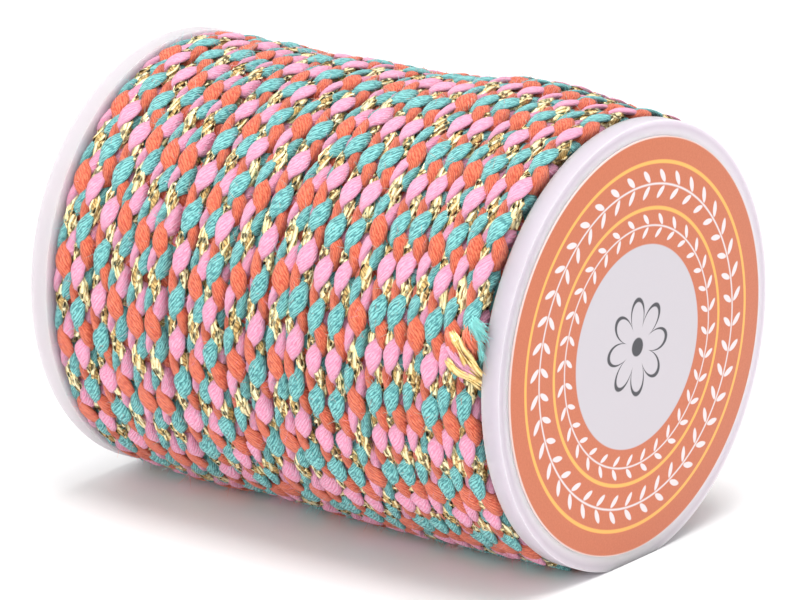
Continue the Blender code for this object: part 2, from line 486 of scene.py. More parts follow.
# %% Rings round a strand
def pressed_flat(turn, rings):
    """Wound under tension, the braid is pressed: its low places lie nearly as high as its lobes."""
    middle, outward = cord_route(turn)
    height = np.sum((rings - middle[:, None, :]) * outward[:, None, :], axis=2)
    top, bottom = PRESSED_BETWEEN
    share = np.clip((height - bottom) / (top - bottom), 1e-6, None)
    pressed = np.where(height > bottom, bottom + (top - bottom) * share**FLATTENING, height)
    rings = rings + (pressed - height)[:, :, None] * outward[:, None, :]
    rings[:, :, 2] = np.maximum(rings[:, :, 2], LOWEST)
    return rings


def strand_rings(turn, phase, roll, spin, start, sides, width, depth, looser=0.0):
    """Rings of points round a strand, and how far over each lies: full there, drawn in where it dives."""
    centre, over, _, up, wide = strand_frame(turn, phase, roll, spin, start)
    uneven = 1.0 + UNEVENNESS * np.sin(0.37 * phase + 2.0 * start + spin)
    _, outward = cord_route(turn)
    swell = 1.0 + looser * smooth_step(*LOOSER_BETWEEN, -outward[:, 2])
    half_width = (width[0] + (width[1] - width[0]) * over**POINTEDNESS) * uneven * swell
    half_depth = (depth[0] + (depth[1] - depth[0]) * over) * swell
    angles = np.arange(sides) * math.tau / sides
    cosine = np.sign(np.cos(angles)) * np.abs(np.cos(angles)) ** ROUNDNESS
    sine = np.sign(np.sin(angles)) * np.abs(np.sin(angles)) ** ROUNDNESS
    rings = (
        centre[:, None, :]
        + up[:, None, :] * (half_depth[:, None] * cosine)[:, :, None]
        + wide[:, None, :] * (half_width[:, None] * sine)[:, :, None]
    )
    return pressed_flat(turn, rings), over


# %% [markdown]
# ## Yarn
# Each cotton strand is spun from fine yarns that twist round each other. At this size they are
# shallow slanting ridges, so they are bump and painted shade between the ridges, in a group that all
# three colours share.

# %% A new shader group
def new_group(name, inputs, outputs):
    """An empty group, its input node and its output node, with sockets given as (name, value)."""
    group = bpy.data.node_groups.new(name, "ShaderNodeTree")
    for label, value in inputs:
        kind = "NodeSocketColor" if isinstance(value, tuple) else "NodeSocketFloat"
        socket = group.interface.new_socket(label, in_out="INPUT", socket_type=kind)
        socket.default_value = value
    for label, kind in outputs:
        group.interface.new_socket(label, in_out="OUTPUT", socket_type=kind)
    return group, group.nodes.new("NodeGroupInput"), group.nodes.new("NodeGroupOutput")


# %% The ply group
def make_ply_group():
    """Yarns twisted round each other: their colour, with painted shade between the yarns and in the
    crevices between strands, and their height, from the strand's own UV map.
    """
    group, source, result = new_group(
        "ply_twist",
        (
            ("Around", 9.0),
            ("Along", 3.4),
            ("Fibre", 0.5),
            ("Light", (1, 1, 1, 1)),
            ("Dark", (0, 0, 0, 1)),
        ),
        (("Color", "NodeSocketColor"), ("Height", "NodeSocketFloat")),
    )
    place = node(group, "ShaderNodeUVMap", {"uv_map": "strand"}).outputs["UV"]
    parts = node(group, "ShaderNodeSeparateXYZ", None, Vector=place)
    across, along = parts.outputs["X"], parts.outputs["Y"]
    wobble = math_node(group, "SUBTRACT", flat_noise(group, place, Scale=2.3, Detail=3.0), 0.5)
    turns = times(group, across, source.outputs["Around"])
    run = times(group, along, source.outputs["Along"])
    phase = math_node(group, "ADD", math_node(group, "ADD", turns, run), wobble)
    wave = math_node(group, "SINE", times(group, phase, math.pi))
    ridge = math_node(group, "POWER", math_node(group, "ABSOLUTE", wave), 0.7)

    def along_yarns(over_phase, over_length, **looks):
        """Noise that follows the yarns, so many times finer over their phase and their length."""
        x = times(group, phase, over_phase)
        y = times(group, along, over_length)
        return flat_noise(group, node(group, "ShaderNodeCombineXYZ", None, X=x, Y=y).outputs[0], **looks)

    beads = map_range(group, along_yarns(1.1, 3.6, Scale=1.0, Detail=1.0), 0.36, 0.60, to_low=0.25)
    fine = math_node(group, "SUBTRACT", along_yarns(4.0, 1.5, Scale=2.2, Detail=3.0, Roughness=0.7), 0.5)
    fibre = times(group, fine, source.outputs["Fibre"])
    height = math_node(group, "ADD", times(group, ridge, beads), fibre)
    # Painted shade: the colour runs from the dark colour in the grooves between the yarns to the light
    # one on their tops.
    shade = map_range(group, height, 0.0, 0.66)
    colour = mixed(group, shade, source.outputs["Dark"], source.outputs["Light"])
    # Painted shade: the colour is darker where the strand dives under the others and on its sides, in the
    # crevices between strands.
    over = node(group, "ShaderNodeAttribute", {"attribute_name": "lies_over"}).outputs["Fac"]
    around = math_node(group, "COSINE", times(group, across, math.tau))
    uppermost, outer_side = map_range(group, over, 0.15, 0.50), map_range(group, around, -0.15, 0.25)
    in_the_open = times(group, uppermost, outer_side)
    painted_crevice_shade = map_range(group, in_the_open, 0.0, 1.0, to_low=0.82)
    shaded = node(group, "ShaderNodeVectorMath", {"operation": "SCALE"}, i0=colour, Scale=painted_crevice_shade)
    group.links.new(shaded.outputs[0], result.inputs["Color"])
    group.links.new(height, result.inputs["Height"])
    return group


ply_group = make_ply_group()


def yarn_material(name, light, dark, around, along, fibre, sheen=0.25):
    """Yarns in a light colour with painted shade, a dark colour, between them, slanting by around and
    along.
    """
    material, tree, shader = new_material(
        name, Roughness=0.8, Sheen_Weight=sheen, Sheen_Roughness=0.4, Specular_IOR_Level=0.25
    )
    ply = node(tree, "ShaderNodeGroup", {"node_tree": ply_group}, Around=around, Along=along, Fibre=fibre,
               Light=(*light, 1.0), Dark=(*dark, 1.0))
    tree.links.new(ply.outputs["Color"], shader.inputs["Base Color"])
    add_bump(tree, shader, ply.outputs["Height"], 0.9, 0.08 * MM)
    return material


# %% [markdown]
# ## Gold foil
# The fourth strand isn't yarn. It is narrow gold film wound loosely round a dark core, so it folds
# into flat bright faces with dark creases between them, and the creases' darkness is painted shade.
# Real flat-sided ribbons catch the light as the film does, which no bump on a round strand would.

# %% Gold film
def film_material(name, scale, detail, stops, metallic, roughness):
    """Crinkled gold film: bright faces, and creases from the first stop's darker colour, which is painted
    shade and painted dark reflection.
    """
    material, tree, shader = new_material(name, Metallic=metallic, Roughness=roughness)
    creases = solid_noise(tree, scale, detail, 0.6)
    tree.links.new(colour_ramp(tree, creases, stops), shader.inputs["Base Color"])
    return material


# The first stop is painted shade and painted dark reflection in the creases of the film.
FOIL_STOPS = ((0.30, (0.34, 0.17, 0.05)), (0.38, (1.0, 0.80, 0.38)), (0.58, (1.0, 0.90, 0.54)))
FOIL = film_material("gold_foil", 2600.0, 2.0, FOIL_STOPS, 0.2, 0.25)

# %% Ribbons round the core
RIBBONS = 6
RIBBON_HALF_WIDTH = 0.17 * MM
RIBBON_RIDGE = 0.03 * MM
RIBBON_TURN = 0.55 * MM
RIBBON_SEED = 40


def ribbon_rings(turn, phase, roll, spin, start, along, number, width, depth):
    """A flat ribbon that wanders round the outside of its strand, tilting as it goes."""
    centre, over, tangent, up, wide = strand_frame(turn, phase, roll, spin, start)
    half_width = width[0] + (width[1] - width[0]) * over**POINTEDNESS
    half_depth = depth[0] + (depth[1] - depth[0]) * over
    random = np.random.default_rng(RIBBON_SEED + number)
    lay = math.tau * number / RIBBONS + along / RIBBON_TURN + 0.8 * np.sin(along / MM * 1.3 + number)
    lay = lay + random.uniform(-0.25, 0.25, len(turn))
    cosine, sine = np.cos(lay)[:, None], np.sin(lay)[:, None]
    out = up * cosine * half_depth[:, None] + wide * sine * half_width[:, None]
    normal = unit(up * cosine * half_width[:, None] + wide * sine * half_depth[:, None])
    tilt = random.uniform(-0.7, 0.7, len(turn))[:, None]
    flat = np.cross(tangent, normal) * np.cos(tilt) + normal * np.sin(tilt)
    rise = 1.0 + random.uniform(-0.12, 0.10, len(turn))[:, None]
    middle = centre + out * rise
    ridge = middle + np.cross(flat, tangent) * RIBBON_RIDGE
    reach = RIBBON_HALF_WIDTH * random.uniform(0.7, 1.25, len(turn))[:, None]
    return pressed_flat(turn, np.stack([middle - flat * reach, ridge, middle + flat * reach], axis=1))


# %% The four strands
TEAL = yarn_material("teal_yarn", (0.28, 0.73, 0.71), (0.012, 0.17, 0.195), -17.0, 2.0, 0.8)
PINK = yarn_material("pink_yarn", (1.0, 0.49, 0.67), (0.93, 0.27, 0.46), -17.0, 2.0, 0.9)
CORAL = yarn_material("coral_yarn", (0.95, 0.235, 0.12), (0.62, 0.065, 0.033), 17.0, 2.0, 0.9)
CORE = yarn_material("foil_core", (0.85, 0.58, 0.22), (0.22, 0.11, 0.04), 6.0, 2.5, 0.8, sheen=0.0)
COTTON_STEPS, COTTON_SIDES = 17, 12
FOIL_STEPS, CORE_SIDES = 12, 7
CORE_SHARE = 0.86
# Half widths and half depths, first where a strand dives and then where it lies over.
COTTON_WIDTH, COTTON_DEPTH = (0.14 * MM, 0.63 * MM), (0.15 * MM, 0.33 * MM)
FOIL_WIDTH, FOIL_DEPTH = (0.14 * MM, 0.42 * MM), (0.12 * MM, 0.26 * MM)
CORE_WIDTH, CORE_DEPTH = (tuple(half * CORE_SHARE for half in size) for size in (FOIL_WIDTH, FOIL_DEPTH))
COTTON_STRANDS = (
    ("teal_strand", TEAL, -1, 0.0),
    ("pink_strand", PINK, -1, math.pi),
    ("coral_strand", CORAL, 1, 0.0),
)


# %% Making a strand
def joined_mesh(name, meshes):
    """One mesh from several that share a material and a UV map."""
    joined = bmesh.new()
    for mesh in meshes:
        joined.from_mesh(mesh)
        bpy.data.meshes.remove(mesh)
    mesh = bpy.data.meshes.new(name)
    joined.to_mesh(mesh)
    joined.free()
    return mesh


def cotton_rings(spin, start, first_turn, last_turn):
    """Rings along a cotton strand, with their turn count, length so far and how far over they lie."""
    turn, along, phase, roll = braid_samples(first_turn, last_turn, COTTON_STEPS)
    course = turn, phase, roll, spin, start
    rings, over = strand_rings(*course, COTTON_SIDES, COTTON_WIDTH, COTTON_DEPTH, LOOSER_BELOW)
    return rings, turn, along, over


def make_cotton(name, material, spin, start, first_turn, last_turn):
    rings, _, along, over = cotton_rings(spin, start, first_turn, last_turn)
    mesh = tube_mesh(name, rings, along / MM, over)
    mesh.shade_smooth()
    obj = piece_from_mesh(name, mesh, material)
    print(name, len(mesh.polygons), "faces")
    return obj


def make_foil(name, first_turn, last_turn):
    """The strand of film: its core, and the flat ribbons round it."""
    turn, along, phase, roll = braid_samples(first_turn, last_turn, FOIL_STEPS)
    course = turn, phase, roll, FOIL_SPIN, FOIL_START
    rings, over = strand_rings(*course, CORE_SIDES, CORE_WIDTH, CORE_DEPTH)
    core = tube_mesh(name + "_core", rings, along / MM, over)
    core.shade_smooth()
    ribbons = []
    for number in range(RIBBONS):
        rings = ribbon_rings(*course, along, number, FOIL_WIDTH, FOIL_DEPTH)
        ribbons.append(tube_mesh("ribbon", rings, along / MM))
    foil = joined_mesh(name + "_film", ribbons)
    print(name, len(core.polygons) + len(foil.polygons), "faces")
    return [piece_from_mesh(name + "_core", core, CORE), piece_from_mesh(name + "_film", foil, FOIL)]


# %% The wound strands
wound_pieces = [make_cotton(*strand, FIRST_TURN, LAST_TURN) for strand in COTTON_STRANDS]
wound_pieces += make_foil("gold_strand", FIRST_TURN, LAST_TURN)
for obj in wound_pieces:
    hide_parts("winding")

# %% [markdown]
# ## The layer underneath
# Under the top layer lie the turns of the layer below. They only show as dark slivers in the
# grooves, so one plain cord stands for them, coloured in patches as the braid is.

# %% Colour of the turns underneath
def inner_material():
    material, tree, shader = new_material("inner_turns", Roughness=0.9)
    place = node(tree, "ShaderNodeUVMap", {"uv_map": "strand"}).outputs["UV"]
    scaled = node(tree, "ShaderNodeMapping", None, Vector=place, Scale=(3.0, 0.45, 1.0))
    patches = flat_noise(tree, scaled.outputs[0], Scale=1.6)
    stops = ((0.0, (0.14, 0.42, 0.42)), (0.48, (0.75, 0.14, 0.07)), (0.58, (0.85, 0.30, 0.44)))
    tree.links.new(colour_ramp(tree, patches, stops, "CONSTANT"), shader.inputs["Base Color"])
    add_bump(tree, shader, patches, 1.0, 0.1 * MM)
    return material


# %% One plain cord for the turns underneath
INNER_DEEPER = 0.55 * MM
INNER_HALF_DEPTH, INNER_HALF_WIDTH = 0.55 * MM, 0.85 * MM
INNER_SIDES = 8
LENGTH_OF_TURN_MM = 85.0
inner_turn = np.linspace(0.0, TURNS_ACROSS - 0.5, 64 * TURNS_ACROSS)
inner_centre, inner_outward = cord_route(inner_turn)
inner_centre = inner_centre - inner_outward * INNER_DEEPER
inner_across = np.cross(unit(np.gradient(inner_centre, axis=0)), inner_outward)
inner_angle = np.arange(INNER_SIDES) * math.tau / INNER_SIDES
inner_rings = (
    inner_centre[:, None, :]
    + inner_outward[:, None, :] * (INNER_HALF_DEPTH * np.cos(inner_angle))[None, :, None]
    + inner_across[:, None, :] * (INNER_HALF_WIDTH * np.sin(inner_angle))[None, :, None]
)
inner_mesh = tube_mesh("inner_turns", inner_rings, inner_turn * LENGTH_OF_TURN_MM)
inner_mesh.shade_smooth()
inner_turns = piece_from_mesh("inner_turns", inner_mesh, inner_material())
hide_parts("winding")

# %% [markdown]
# ## Loose fibres
# Cotton is spun from short fibres, and their ends stand off the yarn as a faint fuzz. Each fibre
# here is a thin bent tube of three sides. They soften the outlines, and a few show as stray hairs.

# %% Colour of a loose fibre
def fibre_material(name, colour):
    """A single fibre lets light through, so it looks paler than the yarn that it comes from; that paler
    colour is painted light.
    """
    material, tree, shader = new_material(name, Roughness=0.9, Sheen_Weight=0.3, Specular_IOR_Level=0.2)
    darker, lighter = tuple(c * 0.8 for c in colour), tuple(min(1.0, c * 1.15) for c in colour)
    tone = mixed(tree, solid_noise(tree, 3000.0, 1.0), darker, lighter)
    tree.links.new(tone, shader.inputs["Base Color"])
    return material


FIBRES = {
    "teal": fibre_material("teal_fibres", (0.30, 0.76, 0.73)),
    "pink": fibre_material("pink_fibres", (1.0, 0.46, 0.64)),
    "coral": fibre_material("coral_fibres", (1.0, 0.26, 0.15)),
}


# %% Fibres as one mesh
def fibre_mesh(name, paths, radius, sides=3):
    """Thin tubes along many short paths of the same number of points, tapering to their tips."""
    number, steps, _ = paths.shape
    tangent = np.gradient(paths, axis=1)
    tangent = tangent / np.linalg.norm(tangent, axis=2, keepdims=True)
    helper = np.where(np.abs(tangent[:, :1, :1]) < 0.8, [[[1.0, 0.0, 0.0]]], [[[0.0, 1.0, 0.0]]])
    first = np.cross(tangent, np.broadcast_to(helper, tangent.shape))
    first = first / np.linalg.norm(first, axis=2, keepdims=True)
    second = np.cross(tangent, first)
    angle = np.arange(sides) * math.tau / sides
    thick = np.broadcast_to(np.asarray(radius, float).reshape(-1, 1), (number, 1))
    taper = thick[:, :, None, None] * np.linspace(1.0, 0.35, steps)[None, :, None, None]
    rings = (
        paths[:, :, None, :]
        + first[:, :, None, :] * taper * np.cos(angle)[None, None, :, None]
        + second[:, :, None, :] * taper * np.sin(angle)[None, None, :, None]
    )
    mesh = tubes_mesh(name, rings)
    mesh.uv_layers.new(name="strand")
    mesh.update(calc_edges=True)
    mesh.validate()
    mesh.shade_smooth()
    return mesh


# %% Fuzz on the strands
FUZZ_FIBRES = 3600
FUZZ_RADIUS = 0.012 * MM
FUZZ_LENGTH_MM = (0.25, 0.8)
FUZZ_ROOT = 0.03 * MM
FUZZ_LOWEST = 0.05 * MM


def make_fuzz(name, material, spin, start, seed):
    """Short fibres that stand off one strand where it lies uppermost."""
    random = np.random.default_rng(seed)
    rings, turn, _, _ = cotton_rings(spin, start, FIRST_TURN, LAST_TURN)
    middle = rings.mean(axis=1)
    _, outward = cord_route(turn)
    side = random.integers(-3, 4, 6 * FUZZ_FIBRES) % COTTON_SIDES
    step = random.integers(2, len(turn) - 2, 6 * FUZZ_FIBRES)
    normal = unit(rings[step, side] - middle[step])
    showing = np.flatnonzero(np.sum(normal * outward[step], axis=1) > 0.45)[:FUZZ_FIBRES]
    step, side, normal = step[showing], side[showing], normal[showing]
    root = rings[step, side] - normal * FUZZ_ROOT
    flow = unit(np.cross(normal, random.normal(size=normal.shape)))
    length = random.uniform(*FUZZ_LENGTH_MM, (len(root), 1)) * MM
    bend = unit(random.normal(size=normal.shape))
    share = np.array([0.0, 0.35, 0.7, 1.0])[None, :, None]
    path = root[:, None, :] + length[:, None, :] * (
        share * (0.42 * normal + 0.8 * flow)[:, None, :] + share**2 * 0.4 * bend[:, None, :]
    )
    path[:, :, 2] = np.maximum(path[:, :, 2], FUZZ_LOWEST)
    obj = piece_from_mesh(name, fibre_mesh(name, path, FUZZ_RADIUS), material)
    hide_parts("winding")


for seed, (name, _, spin, start) in enumerate(COTTON_STRANDS):
    colour = name.split("_")[0]
    make_fuzz(colour + "_fuzz", FIBRES[colour], spin, start, 11 + seed)

# %% [markdown]
# ## The free end
# The last half turn of the cord lies loose in the wedge beside the front flange. It is the same
# braid on the same route, so the two meet without a step.

# %% Free end of the cord
TAIL_POINTS = 25
tail_cotton = [make_cotton("tail_" + s[0], *s[1:], LAST_TURN, TIP_TURN) for s in COTTON_STRANDS]
tail_pieces = tail_cotton + make_foil("tail_gold", LAST_TURN, TIP_TURN)
bpy.ops.object.select_all(action="DESELECT")
for obj in tail_pieces:
    obj.select_set(True)
bpy.context.view_layer.objects.active = tail_pieces[0]
bpy.ops.object.join()
free_end = bpy.context.object
free_end.name = "free_end"
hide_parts("cord_end")
tail_turn = np.linspace(LAST_TURN, TIP_TURN, TAIL_POINTS)
tail_path, _ = cord_route(tail_turn)

# %% [markdown]
# ## The frayed tip
# Where the cord was cut, the braid has come apart. The cotton has burst into soft tufts, and two
# strips of film lie flat across it, with their ends tucked behind the flange.

# %% Points on the winding
def on_winding(degrees, before_flange, radius):
    """A point at this angle, this far before the front flange's inner face and this far out (in mm)."""
    angle = np.radians(degrees)
    x = INNER_FRONT_X - before_flange * MM
    return np.stack([x, -radius * MM * np.cos(angle), AXIS_HEIGHT + radius * MM * np.sin(angle)], axis=-1)


TUFT_STEPS, TUFT_SIDES = 7, 4
TUFT_LOWEST_MM = 13.75
TUFT_BOW_MM = 0.12


def make_tuft(name, material, root, tip, number, spread, thick, seed):
    """Fibres from about one place to about another; each is (degrees, mm before the flange, radius)."""
    random = np.random.default_rng(seed)
    start = root + random.normal(size=(number, 3)) * spread * 0.45
    end = tip + random.normal(size=(number, 3)) * spread
    bow = random.normal(size=(number, 3)) * spread * 0.35
    share = np.linspace(0.0, 1.0, TUFT_STEPS)[None, :, None]
    course = start[:, None, :] + (end - start)[:, None, :] * share
    course = course + (bow[:, None, :] + (0.0, 0.0, TUFT_BOW_MM)) * np.sin(math.pi * share)
    course[:, :, 2] = np.maximum(course[:, :, 2], TUFT_LOWEST_MM)
    paths = on_winding(course[:, :, 0], course[:, :, 1], course[:, :, 2])
    thickness = thick * MM * random.uniform(0.6, 1.2, number)
    obj = piece_from_mesh(name, fibre_mesh(name, paths, thickness, TUFT_SIDES), material)
    return obj


# %% Tufts
# name, colour, root, tip, number of fibres, spread, thickness in mm, seed
TUFTS = (
    ("teal_tuft", "teal", (19.8, 1.05, 14.1), (15.6, 0.05, 14.0), 150, (1.5, 0.26, 0.10), 0.032, 1),
    ("teal_wisp", "teal", (15.8, 0.35, 14.0), (10.6, 0.02, 13.75), 45, (1.2, 0.14, 0.08), 0.032, 7),
    ("coral_tuft", "coral", (16.2, 1.15, 14.1), (12.6, 0.5, 14.15), 120, (0.9, 0.22, 0.14), 0.035, 2),
    ("pink_tuft", "pink", (11.2, 2.1, 14.2), (6.9, 0.65, 14.2), 110, (0.8, 0.20, 0.08), 0.04, 3),
    ("coral_wisp", "coral", (14.4, 2.3, 14.2), (9.6, 1.2, 14.2), 80, (0.8, 0.20, 0.08), 0.035, 4),
)
tip_pieces = [make_tuft(name, FIBRES[colour], *sizes) for name, colour, *sizes in TUFTS]
print("tufts:", ", ".join(obj.name for obj in tip_pieces))


# %% Strips of film
STRIP_STEPS = 13
STRIP_RIDGE = 0.025 * MM
STRANDS_OF_FILM = (-0.95, -0.3, 0.35, 0.95)
# The first, darker stop is painted shade in the creases of the strips.
STRIP_STOPS = ((0.30, (0.72, 0.45, 0.12)), (0.55, (1.0, 0.78, 0.36)))
STRIP = film_material("gold_strip", 1500.0, 3.0, STRIP_STOPS, 0.4, 0.3)


def make_strip(name, places, half_width, seed):
    """A flat folded strip of film through places on the winding, each (degrees, mm, radius in mm)."""
    random = np.random.default_rng(seed)
    share = np.linspace(0.0, 1.0, STRIP_STEPS)
    knots = np.linspace(0.0, 1.0, len(places))
    course = np.stack([np.interp(share, knots, column) for column in np.array(places, float).T], axis=1)
    course[1:-1] = (course[:-2] + 2 * course[1:-1] + course[2:]) / 4
    centre = on_winding(course[:, 0], course[:, 1], course[:, 2])
    outward = unit(on_winding(course[:, 0], course[:, 1], course[:, 2] + 1.0) - centre)
    tangent = unit(np.gradient(centre, axis=0))
    flat = np.cross(tangent, outward)
    spread = (0.55 + 0.75 * share)[:, None]
    meshes = []
    for number, place in enumerate(STRANDS_OF_FILM):
        tilt = 0.9 * np.sin(share * random.uniform(5.0, 8.0) + random.uniform(0.0, 6.0))[:, None]
        turned = flat * np.cos(tilt) + outward * np.sin(tilt)
        sway = place + 0.22 * np.sin(share * random.uniform(4.0, 7.0) + number)[:, None]
        middle = centre + flat * sway * half_width * MM * spread
        middle = middle + outward * random.uniform(0.0, 0.06) * MM
        ends = np.minimum(share * random.uniform(5.0, 9.0) + 0.15, 1.0)[:, None]
        reach = half_width * MM * 0.55 * ends
        thick = outward * STRIP_RIDGE
        corners = [middle - turned * reach, middle + thick, middle + turned * reach, middle - thick]
        rings = np.stack(corners, axis=1)
        meshes.append(tube_mesh("strip", rings, share))
    obj = piece_from_mesh(name, joined_mesh(name, meshes), STRIP)
    return obj


UPPER_STRIP = (
    (15.6, 1.9, 14.5), (12.8, 1.25, 14.6), (10.6, 0.75, 14.5), (7.7, 0.3, 14.05), (4.6, 0.0, 13.3),
)
LOWER_STRIP = (
    (8.8, 2.1, 14.4), (7.3, 1.5, 14.5), (6.0, 0.9, 14.4), (5.0, 0.4, 14.0), (2.6, 0.0, 13.3),
)
tip_pieces.append(make_strip("upper_strip", UPPER_STRIP, 0.33, 5))
tip_pieces.append(make_strip("lower_strip", LOWER_STRIP, 0.24, 6))

# %% [markdown]
# ## The spool
# A spool like this is moulded in one piece from milky polystyrene. It is modelled as by hand: one
# disc is the back flange, its inner face is inset to the barrel and drawn out to the front flange,
# and that is widened and drawn out again. The back flange's outer rim is then rounded, and the
# underside is cut flat. The other three rims of a real spool are round too, and are left sharp here.

# %% Discs and selections
AROUND_DISC = 160


def add_disc(name, radius, thickness, middle_x):
    """A round disc across the spool's axis, ready to be shaped in edit mode."""
    bpy.ops.object.select_all(action="DESELECT")
    bpy.ops.mesh.primitive_cylinder_add(
        vertices=AROUND_DISC,
        radius=radius,
        depth=thickness,
        location=(middle_x, 0.0, AXIS_HEIGHT),
        rotation=(0.0, math.pi / 2, 0.0),
    )
    disc = bpy.context.object
    disc.name = name
    bpy.ops.object.transform_apply(location=True, rotation=True, scale=True)
    bpy.ops.object.mode_set(mode="EDIT")
    return disc


def select_only(mesh, kind, wanted):
    """In edit mode, select only the "faces" or "edges" for which wanted(element) is true."""
    shape = bmesh.from_edit_mesh(mesh)
    for element in (*shape.faces, *shape.edges, *shape.verts):
        element.select_set(False)
    found = [element for element in getattr(shape, kind) if wanted(element)]
    for element in found:
        element.select_set(True)
    bmesh.update_edit_mesh(mesh)
    return len(found)


def faces_front(face):
    return face.normal.x > 0.9


def on_back_rim(edge):
    """Whether an edge runs round the outer rim of the back flange."""
    return all(
        abs(v.co.x - spool_low.x) < 1e-6
        and abs(math.hypot(v.co.y, v.co.z - AXIS_HEIGHT) - FLANGE_RADIUS) < 1e-6
        for v in edge.verts
    )


def draw_out(distance):
    """Extrude what is selected along the spool's axis."""
    bpy.ops.mesh.extrude_region_move(TRANSFORM_OT_translate={"value": (distance, 0.0, 0.0)})


# %% Shape of the spool
RIM_ROUNDING = 0.55 * MM
MERGE_WITHIN = 1e-7
spool_body = add_disc("spool_body", FLANGE_RADIUS, FLANGE_THICKNESS, spool_low.x + FLANGE_THICKNESS / 2)
select_only(spool_body.data, "faces", faces_front)
bpy.ops.mesh.inset(thickness=FLANGE_RADIUS - BARREL_RADIUS, depth=0.0)
draw_out(INNER_FRONT_X - INNER_BACK_X)
draw_out(0.0)
widen = FLANGE_RADIUS / BARREL_RADIUS
bpy.ops.transform.resize(value=(1.0, widen, widen), center_override=(INNER_FRONT_X, 0.0, AXIS_HEIGHT))
draw_out(FRONT_FLANGE_THICKNESS)
rim_edges = select_only(spool_body.data, "edges", on_back_rim)
bpy.ops.mesh.bevel(offset=RIM_ROUNDING, segments=7, profile=0.5, affect="EDGES")
print("rim edges rounded:", rim_edges)
bpy.ops.mesh.select_all(action="SELECT")
bpy.ops.mesh.bisect(
    plane_co=(0.0, 0.0, 0.0),
    plane_no=(0.0, 0.0, 1.0),
    clear_inner=True,
    use_fill=True,
    threshold=MERGE_WITHIN,
)
bpy.ops.mesh.select_all(action="SELECT")
bpy.ops.mesh.remove_doubles(threshold=MERGE_WITHIN)
bpy.ops.mesh.normals_make_consistent(inside=False)
bpy.ops.object.mode_set(mode="OBJECT")
bpy.ops.object.shade_smooth_by_angle(angle=math.radians(32))
print("spool", len(spool_body.data.polygons), "faces")


# %% Milky plastic
PLASTIC_TONES = ((0.465, 0.418, 0.472), (0.52, 0.477, 0.532))
# Painted light: a paler colour on the front face beside the label, where the label shades the plastic.
PAINTED_LIGHT_BESIDE_LABEL = (0.86, 0.80, 0.865)
# Painted light: a whiter colour at the back flange, of the same plastic as the rest.
PAINTED_LIGHT_AT_BACK = (0.53, 0.497, 0.52)
RIM_BAND = 0.35 * MM
FACE_DEPTH = 0.2 * MM


def about_axis(tree):
    """Object coordinates, with the height above the spool's axis and the distance from it."""
    place = node(tree, "ShaderNodeTexCoord").outputs["Object"]
    parts = node(tree, "ShaderNodeSeparateXYZ", None, Vector=place).outputs
    height = math_node(tree, "SUBTRACT", parts["Z"], AXIS_HEIGHT)
    squares = math_node(tree, "POWER", parts["Y"], 2.0), math_node(tree, "POWER", height, 2.0)
    return parts, height, math_node(tree, "SQRT", math_node(tree, "ADD", *squares))


def plastic_material():
    """Cloudy plastic, with painted light on the front face beside the label, where the label shades the
    plastic, and painted light that makes the back flange whiter.
    """
    material, tree, shader = new_material(
        "milky_plastic_moulding", Roughness=0.48, Coat_Weight=0.08, Coat_Roughness=0.3,
        Subsurface_Weight=1.0, Subsurface_Radius=(1.0, 0.85, 0.95), Subsurface_Scale=2.5 * MM,
    )
    tone = mixed(tree, solid_noise(tree, 160.0, 3.0, 0.55), *PLASTIC_TONES)
    parts, _, distance = about_axis(tree)
    near_label = map_range(tree, distance, FLANGE_RADIUS - RIM_BAND, LABEL_RADIUS)
    on_face = math_node(tree, "GREATER_THAN", parts["X"], spool_high.x - FACE_DEPTH)
    # Painted light beside the label, and then at the back flange.
    tone = mixed(tree, times(tree, near_label, on_face), tone, PAINTED_LIGHT_BESIDE_LABEL)
    tone = mixed(tree, map_range(tree, parts["X"], 0.0, INNER_BACK_X), tone, PAINTED_LIGHT_AT_BACK)
    tree.links.new(tone, shader.inputs["Base Color"])
    add_bump(tree, shader, solid_noise(tree, 900.0, 2.0), 0.12, 0.05 * MM)
    return material


spool_body.data.materials.append(plastic_material())
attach(spool_body, "root")
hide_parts("spool")

# %% [markdown]
# ## The label
# A round paper sticker is printed in red, yellow and dark inks on pale paper and cut with a die, so
# a hair of bare paper shows at its edge. The print is drawn by nodes from the distance and angle
# round the axis.
# In the two bands, a plain garland of leaves is printed, and a plain rosette in the middle.

# %% Shape of the label
PAPER_THICKNESS = 0.12 * MM
PAPER_MIDDLE = 0.02 * MM
DIE_CUT_WIDTH, DIE_CUT_RISE = 0.05 * MM, 0.02 * MM
PRINTED_RING = 3.0 * MM
label_disc = add_disc("label_disc", LABEL_RADIUS, PAPER_THICKNESS, spool_high.x + PAPER_MIDDLE)
select_only(label_disc.data, "faces", faces_front)
bpy.ops.mesh.inset(thickness=DIE_CUT_WIDTH, depth=DIE_CUT_RISE)
bpy.ops.mesh.inset(thickness=PRINTED_RING, depth=0.0)
bpy.ops.object.mode_set(mode="OBJECT")
bpy.ops.object.shade_smooth_by_angle(angle=math.radians(50))
print("label", len(label_disc.data.polygons), "faces")

# %% Printing by radius and angle
PRINT_SHARPNESS = 160.0
LEAF_SHARPNESS = 3.0
LEAF_LEAN = math.radians(48)
LEAF_HALF_LENGTH, LEAF_HALF_WIDTH, STEM_HALF_WIDTH = 0.62, 0.24, 0.075


def gap_between(tree, first, second):
    return math_node(tree, "ABSOLUTE", math_node(tree, "SUBTRACT", first, second))


def printed(tree, half_width, away, sharpness=PRINT_SHARPNESS):
    """1 where a place is less than a half width away from a printed line, fading just past it."""
    inside = math_node(tree, "SUBTRACT", half_width, away)
    return math_node(tree, "MULTIPLY_ADD", inside, sharpness, 0.5)


def clamped(tree, value):
    return node(tree, "ShaderNodeClamp", None, Value=value).outputs[0]


